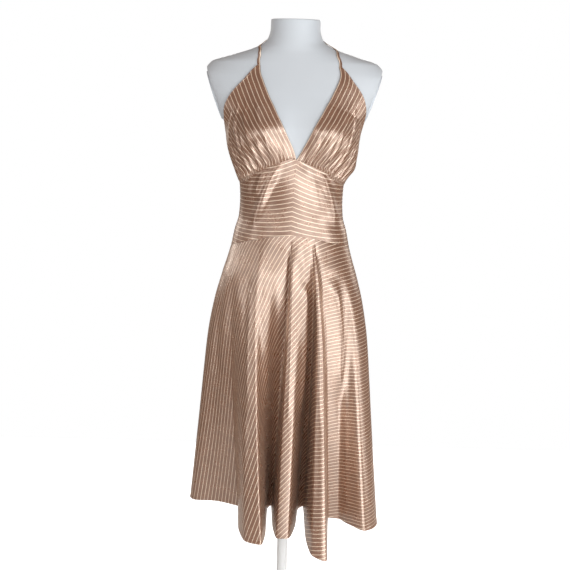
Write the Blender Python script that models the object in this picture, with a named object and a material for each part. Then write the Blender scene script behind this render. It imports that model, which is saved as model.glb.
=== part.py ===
"""Halter midi dress in striped satin on a limbless dress form with a round stand.

Metres, +Z up. The dress faces -Y, and +X is the wearer's left. The origin is the middle of the
stand's underside. A place on the form or on the cloth is given by its bearing, in degrees round
the form from the front centre towards +X, and by its height.
"""
import math

import bmesh
import bpy
import numpy as np

# Cloth
CLOTH = 0.0012          # wall of every cloth piece
EASE = 0.0010           # between the form and the cloth that lies on it
SEAM_GAP = 0.0003       # between two pieces that a seam joins
HALF_COLUMNS = 18       # columns of cloth from the centre front to a side seam
MIDRIFF_ROWS = 5
SIDE_SEAM = 90.0        # bearing of each side seam

# Form and stand
FORM_FOOT = 0.820       # height of the form's flat underside
NECK_TOP = 1.498
FORM_SIDES = 40
ARM_CUT = ((1.255, 0.1475), (1.386, 0.1925))   # height and half width of the flat arm cuts
PLATE_REACH = (0.047, 0.056)                   # half depth and half height of an arm plate
PLATE_THICKNESS = 0.004
BASE_RADIUS = 0.160
BASE_THICKNESS = 0.006
POLE_RADIUS = 0.0125
COLLAR_RADIUS = 0.026
COLLAR_HEIGHT = 0.035
COLLAR_WALL_GAP = 0.0003

# The form, a row for each section: height, half width, depth in front, depth behind, squareness
FORM = (
    (0.820, 0.1500, 0.088, 0.100, 2.2),
    (0.870, 0.1570, 0.098, 0.114, 2.2),
    (0.930, 0.1500, 0.101, 0.115, 2.2),
    (0.994, 0.1335, 0.103, 0.104, 2.2),
    (1.030, 0.1260, 0.101, 0.096, 2.2),
    (1.065, 0.1165, 0.098, 0.089, 2.2),
    (1.100, 0.1145, 0.096, 0.086, 2.2),
    (1.140, 0.1165, 0.098, 0.089, 2.2),
    (1.180, 0.1270, 0.103, 0.096, 2.3),
    (1.220, 0.1390, 0.108, 0.102, 2.3),
    (1.260, 0.1490, 0.110, 0.106, 2.3),
    (1.300, 0.1720, 0.104, 0.108, 2.3),
    (1.340, 0.1920, 0.092, 0.108, 2.3),
    (1.375, 0.2030, 0.078, 0.101, 2.3),
    (1.404, 0.1850, 0.066, 0.090, 2.2),
    (1.420, 0.1370, 0.060, 0.083, 2.1),
    (1.4345, 0.0930, 0.056, 0.075, 2.0),
    (1.448, 0.0670, 0.054, 0.067, 2.0),
    (1.460, 0.0590, 0.053, 0.060, 2.0),
    (1.476, 0.0550, 0.052, 0.054, 2.0),
    (1.498, 0.0542, 0.052, 0.052, 2.0),
)
# The bust: how far out of centre, height, breadth, tallness, and how far it stands out
BUST = (0.076, 1.252, 0.048, 0.050, 0.020)

# Seams round the body, a row for each place: bearing, height
UNDER_BUST = ((0, 1.203), (17, 1.186), (35, 1.170), (50, 1.153), (72, 1.141), (95, 1.137))
BACK_EDGE = ((90, 1.137), (120, 1.112), (150, 1.092), (180, 1.086))
SKIRT_SEAM = ((0, 1.033), (15, 1.029), (45, 1.014), (90, 0.994), (135, 0.990), (180, 0.988))
CENTRE_SEAM_TOP = 2.5   # bearing of the top of the midriff's centre seam, which leans

# Cups, a row from the under-bust seam up to the strap: share of the way up, bearing of the
# neckline on the wearer's right and left, height of the armhole edge, its bearing right and left
CUP = (
    (0.00, 2.5, 2.5, 1.137, -93.0, 93.0),
    (0.13, 0.0, 7.4, 1.163, -94.0, 94.0),
    (0.26, -3.6, 12.0, 1.190, -94.0, 94.5),
    (0.44, -8.5, 16.9, 1.232, -91.0, 92.0),
    (0.55, -10.8, 19.2, 1.262, -78.0, 81.0),
    (0.65, -13.0, 21.5, 1.286, -64.0, 68.0),
    (0.75, -14.8, 23.4, 1.309, -55.0, 59.5),
    (0.84, -16.3, 25.0, 1.340, -41.0, 47.0),
    (0.93, -18.3, 26.2, 1.373, -27.5, 34.0),
    (1.00, -20.2, 27.2, 1.397, -22.6, 29.4),
)
CUP_FOOT = 1.203
CUP_TIP = 1.397
CUP_ROWS = 12
CUP_EASE = 0.0024       # how far a cup spans clear of the form half way up
CUP_FULLNESS = 0.006    # how far the gathered cloth stands out over the under-bust seam
# The puff of spare cloth low on the outer side of the wearer's left cup: how far up, how far
# across, its spread each way, and how far it stands out
CUP_PUFF = (0.20, 0.86, 0.13, 0.15, 0.008)

# Halter strap, a row for each place on its way round the neck: bearing, height
STRAP = (
    (-21.4, 1.3985), (-25.7, 1.4115), (-38.0, 1.428), (-58.0, 1.441), (-88.0, 1.451),
    (-120.0, 1.458), (-150.0, 1.462), (180.0, 1.464), (150.0, 1.462), (120.0, 1.458),
    (88.0, 1.450), (68.0, 1.438), (48.0, 1.426), (36.0, 1.414), (28.3, 1.3985),
)
STRAP_WIDTH = 0.006
STRAP_EASE = 0.0008
STRAP_STEPS = 48

# Skirt without its folds, a row for each share of the way down: half width, depth in front, behind
SKIRT = (
    (0.00, 0.1349, 0.1044, 0.1064),
    (0.05, 0.1440, 0.1110, 0.1190),
    (0.10, 0.1540, 0.1180, 0.1290),
    (0.20, 0.1710, 0.1260, 0.1400),
    (0.33, 0.1850, 0.1340, 0.1460),
    (0.47, 0.1930, 0.1390, 0.1470),
    (0.63, 0.2010, 0.1440, 0.1510),
    (0.78, 0.2090, 0.1480, 0.1540),
    (1.00, 0.2210, 0.1520, 0.1580),
)
SKIRT_SQUARENESS = 2.2
SKIRT_ROWS = 9
TURN_COLUMNS = 3        # columns of cloth from one turn of the folds to the next
SEAM_HOLD = 12          # how soon below its seam the skirt leaves the form, larger for sooner
# The turns of the folds, right round from the wearer's right side seam across the front: name,
# bearing at the seam, bearing at the hem, the hem's x, y and z there, share of the way down where
# the fold starts
TURNS = (
    ("right_seam", -90, -90, -0.204, 0.052, 0.375, 0.10),
    ("right_side", -84, -80, -0.2265, -0.006, 0.370, 0.10),
    ("right_panel", -68, -42, -0.152, -0.038, 0.373, 0.16),
    ("valley_a", -50, -27, -0.108, -0.054, 0.370, 0.10),
    ("fold_a_right", -40, -24.5, -0.101, -0.160, 0.362, 0.08),
    ("fold_a_crest", -33, -20.5, -0.086, -0.216, 0.357, 0.05),
    ("fold_a", -26, -14.5, -0.060, -0.220, 0.355, 0.04),
    ("fold_a_left", -19, -9.5, -0.0415, -0.175, 0.360, 0.04),
    ("valley_b_right", -10, -8, -0.0385, -0.070, 0.372, 0.03),
    ("valley_b", -6, -5.5, -0.029, -0.056, 0.374, 0.02),
    ("fold_b_right", -3.2, -4.5, -0.0235, -0.150, 0.365, 0.02),
    ("fold_b_crest", -0.5, -2.8, -0.013, -0.198, 0.360, 0.01),
    ("fold_b", 3, 1.5, 0.010, -0.200, 0.361, 0.01),
    ("fold_b_left", 8, 5.5, 0.0265, -0.150, 0.366, 0.03),
    ("valley_c_right", 13, 8, 0.0345, -0.068, 0.373, 0.03),
    ("valley_c", 17, 10.5, 0.0465, -0.056, 0.374, 0.03),
    ("fold_c_right", 20, 12.3, 0.0525, -0.180, 0.352, 0.03),
    ("fold_c_crest", 23.5, 15, 0.066, -0.250, 0.346, 0.02),
    ("fold_c", 27.5, 21, 0.092, -0.258, 0.338, 0.02),
    ("fold_c_left", 32, 24.5, 0.1015, -0.195, 0.345, 0.05),
    ("valley_d", 40, 28, 0.112, -0.092, 0.362, 0.08),
    ("left_valley", 48, 32, 0.128, -0.090, 0.361, 0.10),
    ("left_panel", 56, 40, 0.152, -0.118, 0.354, 0.12),
    ("fold_d", 68, 58, 0.192, -0.148, 0.348, 0.12),
    ("left_side", 80, 80, 0.220, -0.085, 0.356, 0.10),
    ("left_seam", 90, 90, 0.215, -0.008, 0.362, 0.10),
    ("back_side", 100, 108, 0.190, 0.050, 0.364, 0.10),
    ("fold_e", 112, 124, 0.182, 0.150, 0.360, 0.12),
    ("fold_e_crest", 121, 136, 0.146, 0.176, 0.360, 0.12),
    ("valley_e", 131, 147, 0.122, 0.070, 0.369, 0.14),
    ("valley_f", 137, 151, 0.112, 0.066, 0.370, 0.14),
    ("fold_f_out", 146, 155, 0.100, 0.160, 0.364, 0.12),
    ("fold_f", 152, 161.5, 0.078, 0.206, 0.358, 0.12),
    ("fold_f_in", 159, 168, 0.050, 0.200, 0.359, 0.12),
    ("valley_g", 167, 172.5, 0.034, 0.066, 0.371, 0.14),
    ("valley_h", 173, 174.5, 0.024, 0.062, 0.372, 0.14),
    ("fold_g_out", 179, 177.5, 0.012, 0.158, 0.366, 0.12),
    ("fold_g", 185, 181.5, -0.008, 0.204, 0.361, 0.12),
    ("fold_g_in", 192, 187, -0.034, 0.198, 0.361, 0.12),
    ("valley_i", 201, 191, -0.050, 0.070, 0.371, 0.14),
    ("valley_j", 208, 194, -0.060, 0.066, 0.371, 0.14),
    ("fold_h_out", 216, 198.5, -0.078, 0.156, 0.364, 0.12),
    ("fold_h", 223, 206, -0.104, 0.196, 0.357, 0.12),
    ("fold_h_in", 231, 214.5, -0.130, 0.186, 0.358, 0.12),
    ("valley_k", 242, 220, -0.148, 0.078, 0.368, 0.12),
    ("back_right_side", 256, 232, -0.178, 0.084, 0.370, 0.10),
)

SATIN = (0.390, 0.195, 0.122)
FORM_WHITE = (0.640, 0.665, 0.690)
STAND_WHITE = (0.780, 0.785, 0.790)


def through(keys, values, at):
    """Smooth curve through the rows (keys, values) that swings no further than its rows do."""
    keys = np.asarray(keys, float)
    values = np.asarray(values, float).reshape(len(keys), -1)
    step = np.diff(keys)[:, None]
    rise = np.diff(values, axis=0) / step
    slope = np.zeros_like(values)
    same = rise[1:] * rise[:-1] > 0
    slope[1:-1][same] = (2 * rise[1:] * rise[:-1])[same] / (rise[1:] + rise[:-1])[same]
    slope[0], slope[-1] = rise[0], rise[-1]
    at = np.clip(np.atleast_1d(np.asarray(at, float)), keys[0], keys[-1])
    i = np.clip(np.searchsorted(keys, at) - 1, 0, len(keys) - 2)
    h, t = step[i], ((at - keys[i]) / step[i, 0])[:, None]
    found = (
        values[i] * (1 + 2 * t) * (1 - t) ** 2 + values[i + 1] * t * t * (3 - 2 * t)
        + slope[i] * h * t * (1 - t) ** 2 - slope[i + 1] * h * t * t * (1 - t)
    )
    return found


def columns(table, at, *wanted):
    """The wanted columns of a table, read smoothly where its first column has the values at."""
    rows = np.array([[row[0], *(row[i] for i in wanted)] for row in table], float)
    return through(rows[:, 0], rows[:, 1:], at).T


def section(bearing, half_width, front, behind, squareness):
    """Points of a rounded section at the bearings, as x and y."""
    s, c = np.sin(np.radians(bearing)), np.cos(np.radians(bearing))
    power = 2 / squareness
    x = half_width * np.sign(s) * np.abs(s) ** power
    y = np.where(c > 0, -front, behind) * np.abs(c) ** power
    return x, y


def bust(x, y, z):
    """How far the bust stands out in front at these places."""
    out, height, breadth, tall, swell = BUST
    mound = np.exp(-(((np.abs(x) - out) / breadth) ** 2) - ((z - height) / tall) ** 2)
    return np.where(y < 0, swell * mound, 0)


def skin(bearing, z):
    """Points on the form's skin."""
    bearing, z = np.broadcast_arrays(np.asarray(bearing, float), np.asarray(z, float))
    x, y = section(bearing.ravel(), *columns(FORM, z.ravel(), 1, 2, 3, 4))
    y = y - bust(x, y, z.ravel())
    return np.stack([x, y, z.ravel()], axis=1).reshape(*bearing.shape, 3)


def off_skin(bearing, z, out):
    """Points that stand clear of the form's skin by out, square to it."""
    turn, rise = 0.5, 0.0005
    along = skin(bearing + turn, z) - skin(bearing - turn, z)
    up = skin(bearing, z + rise) - skin(bearing, z - rise)
    normal = np.cross(along, up)
    normal /= np.linalg.norm(normal, axis=-1, keepdims=True)
    return skin(bearing, z) + normal * np.asarray(out, float)[..., None]


def seam_ring(bearing):
    """The seam between midriff and skirt at these bearings."""
    height = columns(SKIRT_SEAM, np.abs((bearing + 180) % 360 - 180), 1)[0]
    return off_skin(bearing, height, np.full(bearing.shape, EASE + CLOTH / 2))


def level(share, first, last):
    """One level of the skirt between two turns of its folds, a few columns to each turn."""
    half_width, front, behind = columns(SKIRT, share, 1, 2, 3)[:, 0]
    hem_size = columns(SKIRT, 1.0, 1, 2, 3)[:, 0]
    at, moved = [], []
    for _, seam_bearing, hem_bearing, x, y, z, start in TURNS:
        hem_x, hem_y = section(np.array([hem_bearing]), *hem_size, SKIRT_SQUARENESS)
        strength = max(0.0, (share - start) / (1 - start))
        at.append(seam_bearing + (hem_bearing - seam_bearing) * share)
        moved.append((strength * (x - hem_x[0]), strength * (y - hem_y[0]), z))
    turns = len(TURNS)
    rounds = np.arange(-3, turns + 4)
    at = np.array(at)[rounds % turns] + 360 * (rounds // turns)
    moved = np.array(moved)[rounds % turns]
    column = np.linspace(first, last, (last - first) * TURN_COLUMNS + 1)
    bearing = np.interp(column, rounds, at)
    shift = through(at, moved, bearing)
    x, y = section(bearing, half_width, front, behind, SKIRT_SQUARENESS)
    seam = seam_ring(bearing)
    z = seam[:, 2] + (shift[:, 2] - seam[:, 2]) * share
    points = np.stack([x + shift[:, 0], y + shift[:, 1], z], axis=1)
    top_x, top_y = section(bearing, *columns(SKIRT, 0.0, 1, 2, 3)[:, 0], SKIRT_SQUARENESS)
    near_seam = (1 - share) ** SEAM_HOLD
    points[:, 0] += (seam[:, 0] - top_x) * near_seam
    points[:, 1] += (seam[:, 1] - top_y) * near_seam
    return points


def drawn_in(points, gap):
    """The line of points with its two ends drawn in by gap."""
    for end, beside in ((0, 1), (-1, -2)):
        along = points[beside] - points[end]
        points[end] += along * gap / np.linalg.norm(along)
    return points


def skirt_panel(first, last):
    """Grid of a skirt panel between two turns of its folds, from its seam down to the hem."""
    down = np.linspace(0, 1, SKIRT_ROWS + 1)
    grid = np.array([drawn_in(level(share, first, last), SEAM_GAP / 2) for share in down])
    grid[0, :, 2] -= SEAM_GAP / 2
    return grid


def midriff_panel(bearings, top_bearings, top):
    """Grid of a midriff panel from its top edge down to the skirt seam."""
    high = top - SEAM_GAP / 2
    low = columns(SKIRT_SEAM, np.abs((bearings + 180) % 360 - 180), 1)[0] + SEAM_GAP / 2
    down = np.linspace(0, 1, MIDRIFF_ROWS + 1)[:, None]
    z = high + (low - high) * down
    bearing = top_bearings + (bearings - top_bearings) * down
    grid = off_skin(bearing, z, np.full(z.shape, EASE + CLOTH / 2))
    return np.array([drawn_in(row, SEAM_GAP / 2) for row in grid])


def turn_index(name):
    """The place in the table of the turn with this name."""
    return [turn[0] for turn in TURNS].index(name)


def under_bust(bearing):
    """Height of the seam under the bust at these bearings."""
    return columns(UNDER_BUST, np.abs(np.asarray(bearing, float)), 1)[0]


def half_bearings(side):
    """Bearings of a front half's columns along the under-bust seam, from the centre outward."""
    share = np.linspace(0, 1, HALF_COLUMNS + 1)
    return CENTRE_SEAM_TOP + (side * SIDE_SEAM - CENTRE_SEAM_TOP) * share


def cup_panel(side):
    """Grid of a cup from the under-bust seam up to the strap, neckline to armhole."""
    neck, arm = (1, 4) if side < 0 else (2, 5)
    up = np.linspace(0, 1, CUP_ROWS + 1)
    neck_bearing, arm_height, arm_bearing = columns(CUP, up, neck, 3, arm)
    neck_height = CUP_FOOT + (CUP_TIP - CUP_FOOT) * up
    across = np.linspace(0, 1, HALF_COLUMNS + 1)
    bearing = neck_bearing[:, None] + (arm_bearing - neck_bearing)[:, None] * across
    height = neck_height[:, None] + (arm_height - neck_height)[:, None] * across
    foot = half_bearings(side)
    near = (1 - up[:, None]) ** 3
    bearing += near * (foot - bearing[0])
    height += near * (under_bust(foot) - height[0])
    height[0] += SEAM_GAP / 2
    bearing[:, 0] += side * np.degrees(SEAM_GAP / 2 / 0.12) * (1 - up) ** 8
    rise = np.sin(np.pi * np.clip(up * 1.7, 0, 1))[:, None] ** 0.7
    full = CUP_FULLNESS * rise * np.sin(np.pi * across) ** 0.6
    span = CUP_EASE * np.sin(np.pi * np.clip(up * 0.98, 0, 1))[:, None] ** 0.5
    out = EASE + CLOTH / 2 + span + full
    if side > 0:
        puff_up, puff_across, tall, wide, stands = CUP_PUFF
        rows_off, columns_off = (up[:, None] - puff_up) / tall, (across - puff_across) / wide
        out += stands * np.exp(-(rows_off ** 2) - columns_off ** 2)
        out[0] = EASE + CLOTH / 2
    return off_skin(bearing, height, out)


def strap_grid():
    """Grid of the halter strap, a flat band from cup to cup round the nape."""
    route = np.array([((b + 360) % 360 if i > 6 else b, z) for i, (b, z) in enumerate(STRAP)])
    route[7:, 0] -= 360
    run = np.arange(len(route))
    path = through(run, route, np.linspace(0, run[-1], STRAP_STEPS + 1))
    middle = off_skin(path[:, 0], path[:, 1], np.full(len(path), STRAP_EASE + CLOTH / 2))
    outer = off_skin(path[:, 0], path[:, 1], np.full(len(path), STRAP_EASE + CLOTH))
    along = np.gradient(middle, axis=0)
    across = np.cross(along, outer - middle)
    across /= np.linalg.norm(across, axis=1, keepdims=True)
    half = across * STRAP_WIDTH / 2
    return np.stack([middle + half, middle - half], axis=0)


def material(name, colour, roughness, metallic):
    """A plain finish."""
    made = bpy.data.materials.new(name)
    made.use_nodes = True
    shader = made.node_tree.nodes["Principled BSDF"]
    shader.inputs["Base Color"].default_value = (*colour, 1)
    shader.inputs["Roughness"].default_value = roughness
    shader.inputs["Metallic"].default_value = metallic
    return made


def add_mesh(name, points, faces, finish):
    """An object from points and faces, smooth but for its sharp edges."""
    mesh = bpy.data.meshes.new(name)
    mesh.from_pydata([tuple(p) for p in points], [], faces)
    mesh.materials.append(finish)
    made = bpy.data.objects.new(name, mesh)
    bpy.context.scene.collection.objects.link(made)
    mesh.shade_smooth()
    mesh.set_sharp_from_angle(angle=math.radians(40))
    return made


def add_cloth(name, grid, finish):
    """A closed wall of cloth through a grid of points."""
    rows, cols = grid.shape[:2]
    faces = [
        (r * cols + c, (r + 1) * cols + c, (r + 1) * cols + c + 1, r * cols + c + 1)
        for r in range(rows - 1) for c in range(cols - 1)
    ]
    made = add_mesh(name, grid.reshape(-1, 3), faces, finish)
    wall = made.modifiers.new("Wall", "SOLIDIFY")
    wall.thickness = CLOTH
    wall.offset = 0
    return made


def make_form(finish):
    """The limbless form: sections from hip to neck, cut flat at the arms, neck and foot."""
    heights = np.concatenate([
        np.linspace(FORM_FOOT, 1.16, 15), np.linspace(1.174, 1.384, 16),
        (1.394, 1.404, 1.412, 1.420, 1.427, 1.433, 1.438, 1.443, 1.447, 1.451, 1.455, 1.460,
         1.466, 1.476, NECK_TOP),
    ])
    bearings = np.arange(FORM_SIDES) * 360 / FORM_SIDES
    points = skin(bearings[None, :], heights[:, None])
    (low, low_x), (high, high_x) = ARM_CUT
    reach = low_x + (heights - low) * (high_x - low_x) / (high - low)
    reach = np.where(heights < low, 1.0, reach)[:, None]
    points[..., 0] = np.clip(points[..., 0], -reach, reach)
    rows = len(heights)
    faces = [
        (r * FORM_SIDES + c, r * FORM_SIDES + (c + 1) % FORM_SIDES,
         (r + 1) * FORM_SIDES + (c + 1) % FORM_SIDES, (r + 1) * FORM_SIDES + c)
        for r in range(rows - 1) for c in range(FORM_SIDES)
    ]
    faces.append(tuple(range(FORM_SIDES))[::-1])
    faces.append(tuple((rows - 1) * FORM_SIDES + c for c in range(FORM_SIDES)))
    return add_mesh("form_torso", points.reshape(-1, 3), faces, finish)


def add_cylinder(name, radius, low, high, finish, sides=32):
    """An upright cylinder between two heights."""
    mesh = bpy.data.meshes.new(name)
    shape = bmesh.new()
    bmesh.ops.create_cone(
        shape, cap_ends=True, segments=sides, radius1=radius, radius2=radius, depth=high - low
    )
    bmesh.ops.translate(shape, verts=shape.verts, vec=(0, 0, (low + high) / 2))
    shape.to_mesh(mesh)
    shape.free()
    mesh.materials.append(finish)
    mesh.shade_smooth()
    mesh.set_sharp_from_angle(angle=math.radians(40))
    made = bpy.data.objects.new(name, mesh)
    bpy.context.scene.collection.objects.link(made)
    return made


def make_arm_plate(name, side, finish):
    """An oval plate that closes the form's arm cut."""
    made = add_cylinder(name, 1, -PLATE_THICKNESS / 2, PLATE_THICKNESS / 2, finish, 28)
    for vertex in made.data.vertices:
        vertex.co.x *= PLATE_REACH[1]
        vertex.co.y *= PLATE_REACH[0]
    (low, low_x), (high, high_x) = ARM_CUT
    lean = math.atan2(high_x - low_x, high - low)
    middle = 1.331
    reach = low_x + (middle - low) * (high_x - low_x) / (high - low)
    off = SEAM_GAP + PLATE_THICKNESS / 2
    made.rotation_euler = (0, side * (math.pi / 2 + lean), 0)
    made.location = (
        side * (reach + off * math.cos(lean)), 0.010, middle - off * math.sin(lean)
    )
    rim = made.modifiers.new("Rim", "BEVEL")
    rim.width = 0.0012
    rim.segments = 1
    return made


def make_stand(finish):
    """The stand: a round base, a pole up into the form's foot and the collar round the pole."""
    base = add_cylinder("base_plate", BASE_RADIUS, 0, BASE_THICKNESS, finish, 48)
    rim = base.modifiers.new("Rim", "BEVEL")
    rim.width = 0.0015
    rim.segments = 1
    foot = BASE_THICKNESS + SEAM_GAP
    add_cylinder("pole", POLE_RADIUS, foot, FORM_FOOT - SEAM_GAP, finish, 20)
    collar = add_cylinder("pole_collar", COLLAR_RADIUS, foot, foot + COLLAR_HEIGHT, finish)
    bore = add_cylinder(
        "collar_bore", POLE_RADIUS + COLLAR_WALL_GAP, foot - 0.01, foot + 0.06, finish
    )
    bore.hide_render = True
    bore.display_type = "WIRE"
    cut = collar.modifiers.new("Bore", "BOOLEAN")
    cut.object = bore
    cut.operation = "DIFFERENCE"


def make_dress(finish):
    """The dress: two gathered cups, a midriff in three, two skirt panels and the halter strap."""
    across = np.linspace(0, 1, HALF_COLUMNS + 1)
    right_seam, left_seam = turn_index("right_seam"), turn_index("left_seam")
    for side, name in ((-1, "right"), (1, "left")):
        grid = cup_panel(side)
        seam = side * SIDE_SEAM * across
        midriff = midriff_panel(seam, half_bearings(side), under_bust(half_bearings(side)))
        if side < 0:
            grid, midriff = grid[:, ::-1], midriff[:, ::-1]
        add_cloth(f"cup_{name}", grid[::-1], finish)
        add_cloth(f"midriff_front_{name}", midriff, finish)
    back = SIDE_SEAM + (360 - 2 * SIDE_SEAM) * np.linspace(0, 1, 2 * HALF_COLUMNS + 1)
    edge = columns(BACK_EDGE, np.abs((back + 180) % 360 - 180), 1)[0]
    add_cloth("midriff_back", midriff_panel(back, back, edge), finish)
    add_cloth("skirt_front", skirt_panel(right_seam, left_seam), finish)
    add_cloth("skirt_back", skirt_panel(left_seam, len(TURNS)), finish)
    add_cloth("halter_strap", strap_grid(), finish)


def main():
    for old in list(bpy.data.objects):
        bpy.data.objects.remove(old, do_unlink=True)
    satin = material("striped_satin", SATIN, 0.35, 0.3)
    form_white = material("form_plastic", FORM_WHITE, 0.45, 0.0)
    stand_white = material("stand_paint", STAND_WHITE, 0.35, 0.0)
    make_form(form_white)
    make_arm_plate("arm_plate_right", -1, form_white)
    make_arm_plate("arm_plate_left", 1, form_white)
    make_stand(stand_white)
    make_dress(satin)


main()
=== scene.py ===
"""Striped satin halter dress on a limbless form: its cloth, folds, gathers, stripes and stitches.

Metres, +Z up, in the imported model's frame. The dress faces -Y and +X is the wearer's left. A
place on the form is given by its bearing, in degrees round from the front centre towards +X, and
its height. The form's sections and the seams are the part's own. The cloth, its folds and its fine
creases are made again here, thinner and finer, on the middle of the part's walls.
"""
import math

import bpy
import numpy as np
from mathutils import Matrix, Vector


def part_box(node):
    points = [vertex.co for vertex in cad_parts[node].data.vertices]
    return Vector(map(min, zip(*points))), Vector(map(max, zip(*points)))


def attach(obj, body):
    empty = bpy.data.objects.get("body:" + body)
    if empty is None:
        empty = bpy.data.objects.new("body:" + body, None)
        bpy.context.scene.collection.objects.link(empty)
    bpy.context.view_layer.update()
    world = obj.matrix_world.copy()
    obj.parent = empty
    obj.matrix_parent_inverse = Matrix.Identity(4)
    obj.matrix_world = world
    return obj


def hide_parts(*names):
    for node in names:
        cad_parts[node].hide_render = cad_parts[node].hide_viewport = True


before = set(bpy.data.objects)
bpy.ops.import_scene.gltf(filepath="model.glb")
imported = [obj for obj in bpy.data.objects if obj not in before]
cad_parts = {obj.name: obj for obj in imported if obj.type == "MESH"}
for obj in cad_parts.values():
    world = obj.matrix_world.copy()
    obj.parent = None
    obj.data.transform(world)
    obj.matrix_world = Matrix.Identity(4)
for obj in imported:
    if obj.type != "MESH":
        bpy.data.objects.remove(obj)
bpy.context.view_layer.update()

# Cloth
WALL = 0.0012           # the part's cloth wall, whose middle this cloth lies on
THIN = 0.0007           # one layer of satin
FOLDED = 0.0015         # satin turned over at an edge
TURNING = 0.006         # how far an edge is turned over
TURNING_SLOPE = 0.8     # share of the turning that is fully thick
EASE = 0.0010           # the bodice's clearance from the form's skin
ON_FORM = EASE + WALL / 2    # from the skin to the middle of the bodice's cloth
SEAM_GAP = 0.0003
SIDE_SEAM = 90.0        # bearing of the side seams
CENTRE_SEAM_TOP = 2.5   # bearing of the centre seam at its top

# The form, a row for each section: height, half width, depth in front, depth behind, squareness
FORM = (
    (0.820, 0.1500, 0.088, 0.100, 2.2),
    (0.870, 0.1570, 0.098, 0.114, 2.2),
    (0.930, 0.1500, 0.101, 0.115, 2.2),
    (0.994, 0.1335, 0.103, 0.104, 2.2),
    (1.030, 0.1260, 0.101, 0.096, 2.2),
    (1.065, 0.1165, 0.098, 0.089, 2.2),
    (1.100, 0.1145, 0.096, 0.086, 2.2),
    (1.140, 0.1165, 0.098, 0.089, 2.2),
    (1.180, 0.1270, 0.103, 0.096, 2.3),
    (1.220, 0.1390, 0.108, 0.102, 2.3),
    (1.260, 0.1490, 0.110, 0.106, 2.3),
    (1.300, 0.1720, 0.104, 0.108, 2.3),
    (1.340, 0.1920, 0.092, 0.108, 2.3),
    (1.375, 0.2030, 0.078, 0.101, 2.3),
    (1.404, 0.1850, 0.066, 0.090, 2.2),
    (1.420, 0.1370, 0.060, 0.083, 2.1),
    (1.4345, 0.0930, 0.056, 0.075, 2.0),
    (1.448, 0.0670, 0.054, 0.067, 2.0),
    (1.460, 0.0590, 0.053, 0.060, 2.0),
    (1.476, 0.0550, 0.052, 0.054, 2.0),
    (1.498, 0.0542, 0.052, 0.052, 2.0),
)
BUST = (0.076, 1.252, 0.048, 0.050, 0.020)    # x, height, breadth, tallness, how far it stands out
ARM_CUT = ((1.255, 0.1475), (1.386, 0.1925))  # height and half width of the flat arm cuts
PLATE_THICKNESS = 0.004
PLATE_RIM = 0.0012      # how far its rim is rounded over
FORM_SIDES = 160
FORM_ROWS = ((0.820, 1.16, 60), (1.164, 1.384, 62), (1.387, 1.498, 48))   # heights, how many
FORM_ROUNDING = 0.0022  # how far the form's cut edges are rounded over

# Seams round the body, a row for each place: bearing, height
UNDER_BUST = ((0, 1.203), (17, 1.186), (35, 1.170), (50, 1.153), (72, 1.141), (95, 1.137))
BACK_EDGE = ((90, 1.137), (120, 1.112), (150, 1.092), (180, 1.086))
SKIRT_SEAM = ((0, 1.033), (15, 1.029), (45, 1.014), (90, 0.994), (135, 0.990), (180, 0.988))

# Cups, a row from the under-bust seam up to the strap: share of the way up, bearing of the
# neckline on the wearer's right and left, height of the armhole edge, its bearing right and left
CUP = (
    (0.00, 2.5, 2.5, 1.137, -93.0, 93.0),
    (0.13, 0.0, 7.4, 1.163, -94.0, 94.0),
    (0.26, -3.6, 12.0, 1.190, -94.0, 94.5),
    (0.44, -8.5, 16.9, 1.232, -91.0, 92.0),
    (0.55, -10.8, 19.2, 1.262, -78.0, 81.0),
    (0.65, -13.0, 21.5, 1.286, -64.0, 68.0),
    (0.75, -14.8, 23.4, 1.309, -55.0, 59.5),
    (0.84, -16.3, 25.0, 1.340, -41.0, 47.0),
    (0.93, -18.3, 26.2, 1.373, -27.5, 34.0),
    (1.00, -20.2, 27.2, 1.397, -22.6, 29.4),
)
CUP_FOOT = 1.203        # heights of the neckline's two ends
CUP_TIP = 1.397
CUP_EASE = 0.0024
CUP_FULLNESS = 0.006
CUP_RADIUS = 0.12       # the body's radius by the neckline's foot
CUP_PUFF = (0.20, 0.86, 0.13, 0.15, 0.008)    # share up and across, half sizes, how far it stands
GATHERED_IN = 0.30      # share of spare width that the gathers take in at the seam
CUP_SPREAD = 1.08       # how much wider a cup is cut than it lies
NECKLINE_AT = 0.0035    # where in the stripes the neckline falls

# Halter strap, a row for each place on its way round the neck: bearing, height
STRAP = (
    (-21.6, 1.3975), (-22.4, 1.4030), (-26.0, 1.4115), (-35.8, 1.4227), (-50.8, 1.4325), (-75.0, 1.441),
    (-98.0, 1.451), (-122.0, 1.458), (-150.0, 1.462), (180.0, 1.464), (150.0, 1.462), (122.0, 1.458),
    (98.0, 1.449), (70.0, 1.434), (46.5, 1.4235), (35.8, 1.4140), (30.6, 1.4062), (28.5, 1.3962),
)
STRAP_WIDTH = 0.006
STRAP_THICKNESS = 0.0009
STRAP_CROWN = 0.0004    # how far the strap's middle stands over its edges
STRAP_EASE = 0.0008
STRAP_AT = 0.004        # where in the stripes the strap's edge falls
STRAP_STEPS = 300
STRAP_SMOOTHING = 8
ROUND_NECK = 0.0012     # metres of the strap's way for each degree

# Skirt without its folds, a row for each share of the way down: half width, depth in front, behind
SKIRT = (
    (0.00, 0.1349, 0.1044, 0.1064),
    (0.05, 0.1440, 0.1110, 0.1190),
    (0.10, 0.1540, 0.1180, 0.1290),
    (0.20, 0.1710, 0.1260, 0.1400),
    (0.33, 0.1850, 0.1340, 0.1460),
    (0.47, 0.1930, 0.1390, 0.1470),
    (0.63, 0.2010, 0.1440, 0.1510),
    (0.78, 0.2090, 0.1480, 0.1540),
    (1.00, 0.2210, 0.1520, 0.1580),
)
SKIRT_SQUARENESS = 2.2
SEAM_HOLD = 12          # how quickly the skirt leaves the seam's own line

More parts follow.
